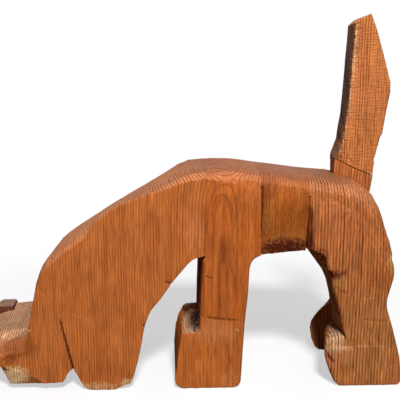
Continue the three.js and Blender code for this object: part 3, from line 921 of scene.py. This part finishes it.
@dataclass
class Studio:
    """Camera, lamps and floor.

    Attributes:
        eye: Camera place in mm.
        yaw: Degrees that the camera looks to the right of +Y.
        pitch: Degrees that it looks down.
        lens: Focal length in mm.
        sensor: Sensor width in mm.
        key_from: Direction from the hound to the key light.
        key_watts: The key light's power.
        key_size: Side of its softbox in metres.
        fill_from: Direction to the light behind.
        fill_watts: Its power.
        fill_size: Side of its softbox in metres.
        lamps_away: Distance of both from the hound in metres.
        ambient: Strength of the even light from all round.
        paint: How white the floor looks where a shadow can fall.
        bounce: The floor's colour in the light that it throws back up.
        shadow_share: How much of the floor's white isn't lit, close to the hound.
        shadow_reach: Distances in metres between which that rises to all of it.
    """

    eye: tuple[float, float, float] = (-9.48, -430.0, 211.0)
    yaw: float = 2.0
    pitch: float = 10.94
    lens: float = 53.1
    sensor: float = 36.0
    key_from: tuple[float, float, float] = (0.08, -0.655, 0.751)
    key_watts: float = 21.0
    key_size: float = 0.2
    fill_from: tuple[float, float, float] = (0.45, 0.75, 0.5)
    fill_watts: float = 3.0
    fill_size: float = 0.7
    lamps_away: float = 1.3
    ambient: float = 0.1
    paint: float = 0.95
    bounce: tuple[float, float, float] = (0.16, 0.14, 0.12)
    shadow_share: float = 0.55
    shadow_reach: tuple[float, float] = (0.15, 0.4)

    def build(self) -> None:
        """Sets up the whole studio."""
        self._camera()
        self._lamp("key_softbox", self.key_from, self.key_watts, self.key_size)
        self._lamp("far_softbox", self.fill_from, self.fill_watts, self.fill_size)
        self._floor()
        self._world()
        bpy.context.scene.view_settings.view_transform = "Standard"

    def _camera(self) -> None:
        """The camera at the photograph's place."""
        data = bpy.data.cameras.new("eye")
        data.lens = self.lens
        data.sensor_width = self.sensor
        data.clip_start = 0.01
        data.clip_end = 50.0
        camera = bpy.data.objects.new("eye", data)
        camera.location = [c * MM for c in self.eye]
        camera.rotation_euler = (math.radians(90 - self.pitch), 0.0, -math.radians(self.yaw))
        bpy.context.scene.collection.objects.link(camera)
        bpy.context.scene.camera = camera

    def _lamp(
        self, name: str, toward: tuple[float, float, float], watts: float, size: float
    ) -> None:
        """A square softbox that faces the hound.

        Args:
            name: The lamp's name.
            toward: Direction from the hound to the lamp.
            watts: Power.
            size: Side in metres.
        """
        data = bpy.data.lights.new(name, "AREA")
        data.energy = watts
        data.size = size
        lamp = bpy.data.objects.new(name, data)
        direction = Vector(toward).normalized()
        lamp.location = Vector((0.0, 0.0, 0.1)) + direction * self.lamps_away
        lamp.rotation_mode = "QUATERNION"
        lamp.rotation_quaternion = direction.to_track_quat("Z", "Y")
        bpy.context.scene.collection.objects.link(lamp)

    def _floor(self) -> None:
        """A white floor that keeps the shadow but throws little light back up."""
        base = bmesh.new()
        bmesh.ops.create_grid(base, x_segments=1, y_segments=1, size=4.0)
        bmesh.ops.translate(base, verts=base.verts, vec=(0.0, 0.0, -0.2 * MM))
        mesh = bpy.data.meshes.new("floor")
        base.to_mesh(mesh)
        base.free()
        floor = bpy.data.objects.new("floor", mesh)
        bpy.context.scene.collection.objects.link(floor)
        paint, tree = blank_material("matt_white_paint")
        seen = add_node(tree, "ShaderNodeLightPath")
        white = add_node(
            tree,
            "ShaderNodeBsdfDiffuse",
            inputs={"Color": (self.paint, self.paint, self.paint, 1.0)},
        )
        dim = add_node(tree, "ShaderNodeBsdfDiffuse", inputs={"Color": (*self.bounce, 1.0)})
        glow = add_node(tree, "ShaderNodeEmission", inputs={"Color": (1.0, 1.0, 1.0, 1.0)})
        near = add_node(tree, "ShaderNodeTexCoord")
        near = add_node(tree, VECTOR_MATH, {"operation": "LENGTH"}, {0: near.outputs["Object"]})
        near = add_node(
            tree,
            MAP_RANGE,
            SMOOTH,
            {
                0: near.outputs["Value"],
                1: self.shadow_reach[0],
                2: self.shadow_reach[1],
                3: self.shadow_share,
                4: 1.0,
            },
        )
        white = add_node(
            tree,
            "ShaderNodeMixShader",
            inputs={0: near.outputs[0], 1: white.outputs[0], 2: glow.outputs[0]},
        )
        mix = add_node(
            tree,
            "ShaderNodeMixShader",
            inputs={0: seen.outputs["Is Camera Ray"], 1: dim.outputs[0], 2: white.outputs[0]},
        )
        add_node(tree, "ShaderNodeOutputMaterial", inputs={"Surface": mix.outputs[0]})
        mesh.materials.append(paint)
        floor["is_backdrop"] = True

    def _world(self) -> None:
        """A white backdrop for the camera and a dim even light for the wood."""
        world = bpy.data.worlds.new("backdrop")
        world.use_nodes = True
        tree = world.node_tree
        tree.nodes.clear()
        seen = add_node(tree, "ShaderNodeLightPath")
        direct = add_node(
            tree, MATH, ADD, {0: seen.outputs["Is Camera Ray"], 1: seen.outputs["Is Glossy Ray"]}
        )
        direct = add_node(
            tree, MATH, ADD, {0: direct.outputs[0], 1: seen.outputs["Is Transmission Ray"]}
        )
        level = add_node(tree, MAP_RANGE, inputs={0: direct.outputs[0], 3: self.ambient, 4: 1.0})
        sky = add_node(
            tree,
            "ShaderNodeBackground",
            inputs={"Color": (1.0, 1.0, 1.0, 1.0), "Strength": level.outputs[0]},
        )
        add_node(tree, "ShaderNodeOutputWorld", inputs={"Surface": sky.outputs[0]})
        bpy.context.scene.world = world


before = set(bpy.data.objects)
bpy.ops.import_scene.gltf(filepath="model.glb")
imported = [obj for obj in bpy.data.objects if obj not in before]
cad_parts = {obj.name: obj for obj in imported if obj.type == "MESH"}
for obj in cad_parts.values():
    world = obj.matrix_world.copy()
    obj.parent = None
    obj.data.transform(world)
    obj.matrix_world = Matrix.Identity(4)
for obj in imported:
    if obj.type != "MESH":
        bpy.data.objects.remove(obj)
CAD_BOX = [list(corner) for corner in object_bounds()]


def head_marks() -> tuple[Mark, ...]:
    """Marks on head and neck: ear outline in painted shade and highlight, torn chin and muzzle,
    nicks.
    """
    nicks = [
        Stroke(path=((-19, 79.5), (-15.6, 77.8)), width=2, depth=0.5),
        Stroke(path=((-35.6, 48.6), (-32.8, 46.6)), width=1.8, depth=0.5),
        Stroke(
            path=((-104.4, 76), (-103.4, 73)), width=1.8, depth=0.3, tone=Tone.LINE, strength=0.6
        ),
    ]
    # Painted highlight along the top of the ear, where a raised ear would catch the light
    ear_top = [
        Stroke(path=path, width=1.5, tone=Tone.SALMON, strength=0.7, fray=0.9)
        for path in (
            ((-92.8, 56.6), (-90.4, 57.2)),
            ((-86.8, 57), (-81.6, 56.4)),
            ((-80.6, 55.4), (-76.6, 54.8)),
            ((-75.6, 58.2), (-73.8, 57.8)),
        )
    ]
    return (
        # The ear's outline: a shallow cut, darkened as painted shade of the ear's front edge
        Stroke(
            path=((-85, 15.4), (-87.2, 25.6), (-89.4, 37), (-92.2, 51.4)), width=1.9, depth=0.4,
            fray=0.1, taper=0.45,
        ),
        *nicks,
        *ear_top,
        Patch(center=(-69, -44, 2), radii=(15, 5, 4.6), tone=Tone.BARE, strength=0.4, fray=0.9),
        Patch(center=(-47.4, -44, 5), radii=(5, 5, 4.6), tone=Tone.BARE, strength=0.6, fray=0.6),
        Patch(center=(0, -44, 114), radii=(9, 4, 15), tone=Tone.SALMON, strength=0.35),
        Patch(center=(-126, -42, 11), radii=(12, 10, 9.5), tone=Tone.BARE, strength=1, fray=0.4),
        Patch(center=(-128.9, -42, 24), radii=(5, 8, 5), tone=Tone.MAROON, strength=0.45, fray=0.9),
        Patch(center=(-119.4, -43, 27), radii=(5, 6, 6), tone=Tone.SALMON, strength=0.6, fray=0.9),
        Patch(
            center=(-130, 0, 48), radii=(44, 80, 26), tone=Tone.SILVER, strength=0.85, fray=0.4,
            upward=True,
        ),
        Patch(center=(-124, -42, 34), radii=(20, 9, 13), tone=Tone.LINE, strength=0.75),
        Stroke(
            path=((-136, 35.6), (-130, 40.4), (-125.6, 44.4), (-113.6, 45.4)), width=1.7,
            tone=Tone.BARE, strength=1, fray=0.4, near=-30,
        ),
        Patch(center=(-114, -42, 5), radii=(12, 9, 6), tone=Tone.SALMON, fray=0.4),
    )


def shoulder_marks() -> tuple[Mark, ...]:
    """Marks on the shoulder: its arching summer lines, a deep kerf, the crest eased to the head."""
    arches = (
        ((8, 112), (8.6, 122), (10.2, 132), (12.8, 140.6), (16.6, 146), (21.3, 147.7)),
        ((21.3, 147.7), (25.4, 145.4), (27.6, 138), (28.8, 127), (29.2, 114)),
        ((12, 126), (13.2, 134), (15.6, 139.2), (18.7, 140.3), (22.4, 138.4)),
        ((22.4, 138.4), (25.2, 133), (26.6, 126), (27.2, 116)),
        ((18.9, 109.4), (17.4, 103), (16.8, 96), (17.2, 80), (17.8, 62.3)),
        ((18.9, 109.4), (21, 103), (23.2, 96), (25, 88.6), (27.6, 82), (28.8, 66), (27.6, 54.9)),
    )
    lines = [Stroke(path=path, width=1.3, tone=Tone.LINE) for path in arches]
    eased_crest = [
        Patch(
            center=(7.8, side * y, 155.4), radii=(14, reach, 6), depth=depth, strength=0, fray=0
        )
        for side in (-1, 1)
        for y, reach, depth in ((35.2, 2.5, 0.6), (34, 6, 0.45))
    ]
    return (
        BACK_CORNER,
        *eased_crest,
        *lines,
        Patch(center=(20, -44, 99), radii=(2.2, 3, 10), tone=Tone.MAROON, strength=0.5),
        Stroke(path=((8.1, 82.9), (12.9, 81.2)), width=1.4, depth=0.4, strength=0.6),
        Stroke(path=((45.3, 147), (45.4, 128), (45.6, 109.6)), width=1.3, depth=0.8, taper=0.4),
        Stroke(
            path=((9.6, 53.6), (14, 52.5), (19.3, 51.9), (28.4, 50.9)), width=1.3, depth=0.4,
            strength=0.7,
        ),
    )


def foot_marks() -> tuple[Mark, ...]:
    """Marks on the near front foot: the ankle joint's end, the wood below, the toe's painted
    shadow.
    """
    return (
        Stroke(
            path=((9.6, 53), (14, 52), (19.3, 51.4), (28.4, 50.4)), width=1.3, depth=0.4,
            strength=0.7,
        ),
        Patch(center=(15, -44, 42), radii=(17, 4, 10), tone=Tone.SALMON, strength=0.55),
        Stroke(path=((29.6, 44.4), (31.4, 43)), width=1.6, tone=Tone.BARE, strength=0.35, fray=0.6),
        Stroke(path=((9, 31), (9.8, 24)), width=1.6, tone=Tone.LINE, strength=0.6, fray=0.8),
        Stroke(path=((22, 32), (25.6, 20)), width=2, tone=Tone.LINE, strength=0.6, fray=0.8),
        Patch(center=(26, -44, 6), radii=(8, 4, 9), tone=Tone.SALMON, strength=0.5, fray=0.9),
        Patch(
            center=(-6, -38, 44), radii=(20, 24, 14), tone=Tone.SILVER, strength=0.9, fray=0.15,
            upward=True,
        ),
        # Painted shadow that the leg and neck cast over the back of the toe top, into the corner by
        # the leg
        Patch(center=(-2, -9, 48), radii=(40, 22.5, 40), strength=1, fray=0.2, upward=True),
        Patch(center=(4, -30, 49), radii=(11.5, 17, 16), strength=1, fray=0.2, upward=True),
        Stroke(
            path=((1.6, 49), (0.4, 43)), width=4.4, strength=0.9, fray=0.4, taper=0.5, upward=True
        ),
    )


def waist_marks() -> tuple[Mark, ...]:
    """Marks on the waist: kerfs at both joints, painted shade under the back and on the torn belly.
    """
    return (
        Stroke(
            path=((46.2, 147), (46.4, 132), (45.9, 109.8)), width=1.9, depth=1, strength=0.85,
            taper=0.6,
        ),
        # Painted shade of a hollow under the back corner
        Patch(center=(51, -41, 145), radii=(9, 10, 10), tone=Tone.MAROON, strength=0.42, fray=0.4),
        BACK_CORNER,
        # Shallow kerf by the haunch, darkened with painted shade beside the haunch's proud front
        # step
        Stroke(
            path=((78.2, 103), (78, 120), (78.2, 139)), width=1.6, depth=0.5, strength=0.6,
            taper=0.6,
        ),
        # Torn belly edge: a shallow tear, its dark red partly painted shade under the downward
        # bevel
        Patch(
            center=(64, -38, 100), radii=(21, 14, 8.6), depth=0.3, tone=Tone.MAROON, strength=1,
            fray=0.6,
        ),
        Patch(center=(64, -38, 102), radii=(23, 12, 14), tone=Tone.OCHRE, strength=0.22, fray=1),
        Patch(center=(51, -42, 122), radii=(4, 8, 20), tone=Tone.OCHRE, strength=0.2, fray=0.4),
    )


def haunch_marks() -> tuple[Mark, ...]:
    """Marks on the haunch: torn front edge and gashes in painted shade, the worn hock, bared toe.
    """
    return (
        BACK_CORNER,
        # Shallow cuts on the haunch's front step, darkened with painted shade where it stands proud
        # of the waist
        Stroke(
            path=((80.4, 99), (80, 112), (79.2, 126), (78.8, 139.6)), width=5.2, depth=1.8,
            tone=Tone.MAROON, strength=0.9, fray=0.2, taper=0.8,
        ),
        Stroke(
            path=((80, 100), (79.4, 118), (79, 134)), width=1.6, depth=0.6, strength=0.6, taper=0.5
        ),
        # Torn front edge, gash and chip: shallow hollows whose dark red is painted shade of the
        # undercuts
        Patch(
            center=(86.5, -42, 95), radii=(7, 7, 8), depth=0.3, tone=Tone.MAROON, strength=0.9,
            fray=0.7,
        ),
        Patch(
            center=(96, -42, 82.4), radii=(7.5, 6, 4.6), depth=0.6, tone=Tone.MAROON, strength=0.95,
            fray=0.6,
        ),
        Patch(
            center=(103.4, -43, 84), radii=(3.6, 5, 2.4), depth=0.3, tone=Tone.MAROON, strength=0.7,
            fray=0.5,
        ),
        Stroke(
            path=((98.7, 74.5), (101.5, 71.6), (106.8, 70.4)), width=2.4, tone=Tone.MAROON,
            strength=0.5, fray=0.6,
        ),
        Patch(center=(101, -43, 77), radii=(7, 5, 6), tone=Tone.OCHRE, strength=0.6, fray=0.6),
        # Painted shade on the inner chamfer along the hind leg's front edge
        Patch(center=(101, -30, 64), radii=(5, 16, 13), tone=Tone.MAROON, strength=0.6),
        Stroke(
            path=((114.9, 66.6), (119.6, 65.4), (124.5, 65.8)), width=1.4, tone=Tone.BARE,
            strength=0.2, fray=0.7,
        ),
        Patch(center=(122, -44, 34), radii=(32, 6, 44), tone=Tone.OCHRE, strength=0.32, fray=0.6),
        Patch(center=(131, -44, 80), radii=(11, 6, 10), tone=Tone.LINE, strength=0.45, fray=0.6),
        Patch(center=(138, -40, 91), radii=(4.6, 9, 11), tone=Tone.OCHRE, strength=0.6, fray=0.4),
        Patch(center=(133, -42, 100), radii=(7, 6, 6), tone=Tone.MAROON, strength=0.3, fray=1.2),
        Stroke(
            path=((120, 49.6), (134.1, 48.4)), width=1.3, depth=0.3, tone=Tone.MAROON, strength=0.4,
            fray=0.7,
        ),
        # Painted highlight on a ledge above the hind foot that the carving doesn't cut
        Stroke(
            path=((116, 30.4), (127, 31), (136, 30.6)), width=1.4, tone=Tone.BARE, strength=0.22,
            fray=0.4, edge=Edge.CRUMBS,
        ),
        Rounding(path=((91, 29), (97, 31.6), (112, 32)), width=12, depth=2),
        Patch(
            center=(100, -38, 36), radii=(16, 20, 9), tone=Tone.SILVER, strength=1, fray=0.35,
            upward=True,
        ),
        Patch(center=(98, -43, 31), radii=(13, 9, 7), tone=Tone.SILVER, fray=0.6),
        Patch(center=(101, -43, 27), radii=(17, 9, 14), tone=Tone.SALMON, strength=0.6, fray=0.5),
        Stroke(
            path=((92.6, 27), (95.6, 22.6), (98.5, 18.5)), width=2.4, depth=1, tone=Tone.MAROON,
            strength=1,
        ),
        Patch(center=(94, -42, 29), radii=(4, 8, 5), tone=Tone.LINE, strength=0.5, fray=0.6),
    )


def tail_marks() -> tuple[Mark, ...]:
    """Marks on the tail: torn front arris, saw marks across, a notch behind, painted shade in
    front.
    """
    bands = [
        Stroke(
            path=((113, z), (136, z - 1.6)), width=1.6, tone=Tone.SALMON, strength=0.65, fray=0.9,
            near=TAIL_SIDE,
        )
        for z in (231, 222, 213.4, 201.4, 195, 184.2)
    ]
    arris = ((113.4, 252), (112.8, 232), (111.6, 214), (110.6, 200), (109, 184), (105.6, 165))
    return (
        *bands,
        Stroke(
            path=tuple((x + 1, z) for x, z in arris), width=4.8, depth=0.4, tone=Tone.SALMON,
            strength=0.9, fray=1.2, edge=Edge.CRUMBS, near=TAIL_SIDE,
        ),
        Stroke(
            path=tuple((x - 0.2, z) for x, z in arris), width=3, tone=Tone.BARE, strength=0.6,
            fray=1.6, edge=Edge.CRUMBS, near=TAIL_SIDE,
        ),
        # Painted shade on the tail's front face, which looks away from the key light, and at its
        # foot
        Patch(center=(100, 0, 164), radii=(9, 40, 22), strength=0.7, fray=0.2),
        Patch(center=(110, 3, 206), radii=(12, 15, 72), strength=0.85, fray=0.15),
        Stroke(
            path=((134.6, 175), (131.8, 158.5)), width=3, depth=0.7, tone=Tone.MAROON, strength=0.5,
            near=TAIL_SIDE,
        ),
        Stroke(
            path=((118, 176), (119, 169)), width=1.8, depth=0.4, tone=Tone.LINE, strength=0.6,
            near=TAIL_SIDE,
        ),
        Stroke(
            path=((104, 169), (110, 163), (116, 156.4)), width=2.2, tone=Tone.MAROON, strength=0.4,
            fray=0.8, near=TAIL_SIDE,
        ),
    )


def hound() -> list[CarvedPiece]:
    """The hound's eight blocks, from the nose to the tail.

    Returns:
        The pieces in the order in which they are built.
    """
    return [
        CarvedPiece(
            "head_neck_block",
            "redwood_head",
            SawnRedwood("rift_sawn_redwood_head", contrast=0.72),
            cell=0.8,
            glued=(NECK,),
            marks=head_marks(),
        ),
        CarvedPiece(
            "nose",
            "dark_wood_nose",
            SawnRedwood(
                "dark_heartwood_nose",
                early="74402E",
                late="3C1D14",
                flush="5E3022",
                end="B8947C",
                bleach=0.6,
                painted_top_shade=0.0,
            ),
            cell=0.5,
        ),
        CarvedPiece(
            "shoulder_block",
            "redwood_shoulder",
            SawnRedwood(
                "flat_sawn_redwood_shoulder",
                early="BC6528",
                flush="A85420",
                ring=2.0,
                phase=0.65,
                drift=1.2,
                contrast=0.4,
                bleach=0.3,
            ),
            cell=0.6,
            glued=(NECK, WAIST, ANKLE),
            marks=shoulder_marks(),
        ),
        CarvedPiece(
            "front_foot_left",
            "redwood_feet",
            SawnRedwood(
                "redwood_front_foot_left", early=AMBER, contrast=0.35, nap=0.26, bleach=0.12
            ),
            cell=0.6,
            glued=(ANKLE,),
            marks=foot_marks(),
        ),
        CarvedPiece(
            "front_foot_right",
            "redwood_feet",
            SawnRedwood("redwood_front_foot_right", early=AMBER, contrast=0.35, nap=0.26),
            cell=0.7,
            glued=(ANKLE,),
        ),
        CarvedPiece(
            "waist_block",
            "redwood_waist",
            SawnRedwood(
                "straight_grained_redwood_waist", early="B26022", flush="A0521C", bleach=0.2
            ),
            cell=0.7,
            glued=(WAIST, HAUNCH),
            marks=waist_marks(),
        ),
        CarvedPiece(
            "haunch_block",
            "redwood_haunch",
            SawnRedwood(
                "weathered_redwood_haunch",
                early="C0703C",
                late="4A1C0A",
                flush="AE6231",
                ring=2.2,
                relief=0.4,
                contrast=1.0,
                nap=0.36,
                bleach=0.3,
                roughness=0.75,
            ),
            cell=0.8,
            glued=(HAUNCH,),
            crisp=(TAIL_SEAT,),
            marks=haunch_marks(),
        ),
        CarvedPiece(
            "tail",
            "redwood_tail",
            SawnRedwood(
                "ripsawn_redwood_tail",
                early="CC7C42",
                late="7A3410",
                flush="BC6C38",
                pith=(400.0, -30.0),
                cathedral=Cathedral(),
                contrast=0.95,
                nap=0.3,
                ripple=0.2,
            ),
            cell=0.6,
            crisp=(TAIL_SEAT,),
            marks=tail_marks(),
        ),
    ]


def main() -> None:
    """Builds the hound and its studio."""
    logging.basicConfig(level=logging.INFO, format="%(message)s")
    for piece in hound():
        piece.build()
    beech = TurnedBeech().material()
    for name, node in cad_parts.items():
        if name.startswith(("dowel", "peg")):
            node.data.materials.clear()
            node.data.materials.append(beech)
    Studio().build()


if __name__ == "__main__":
    main()
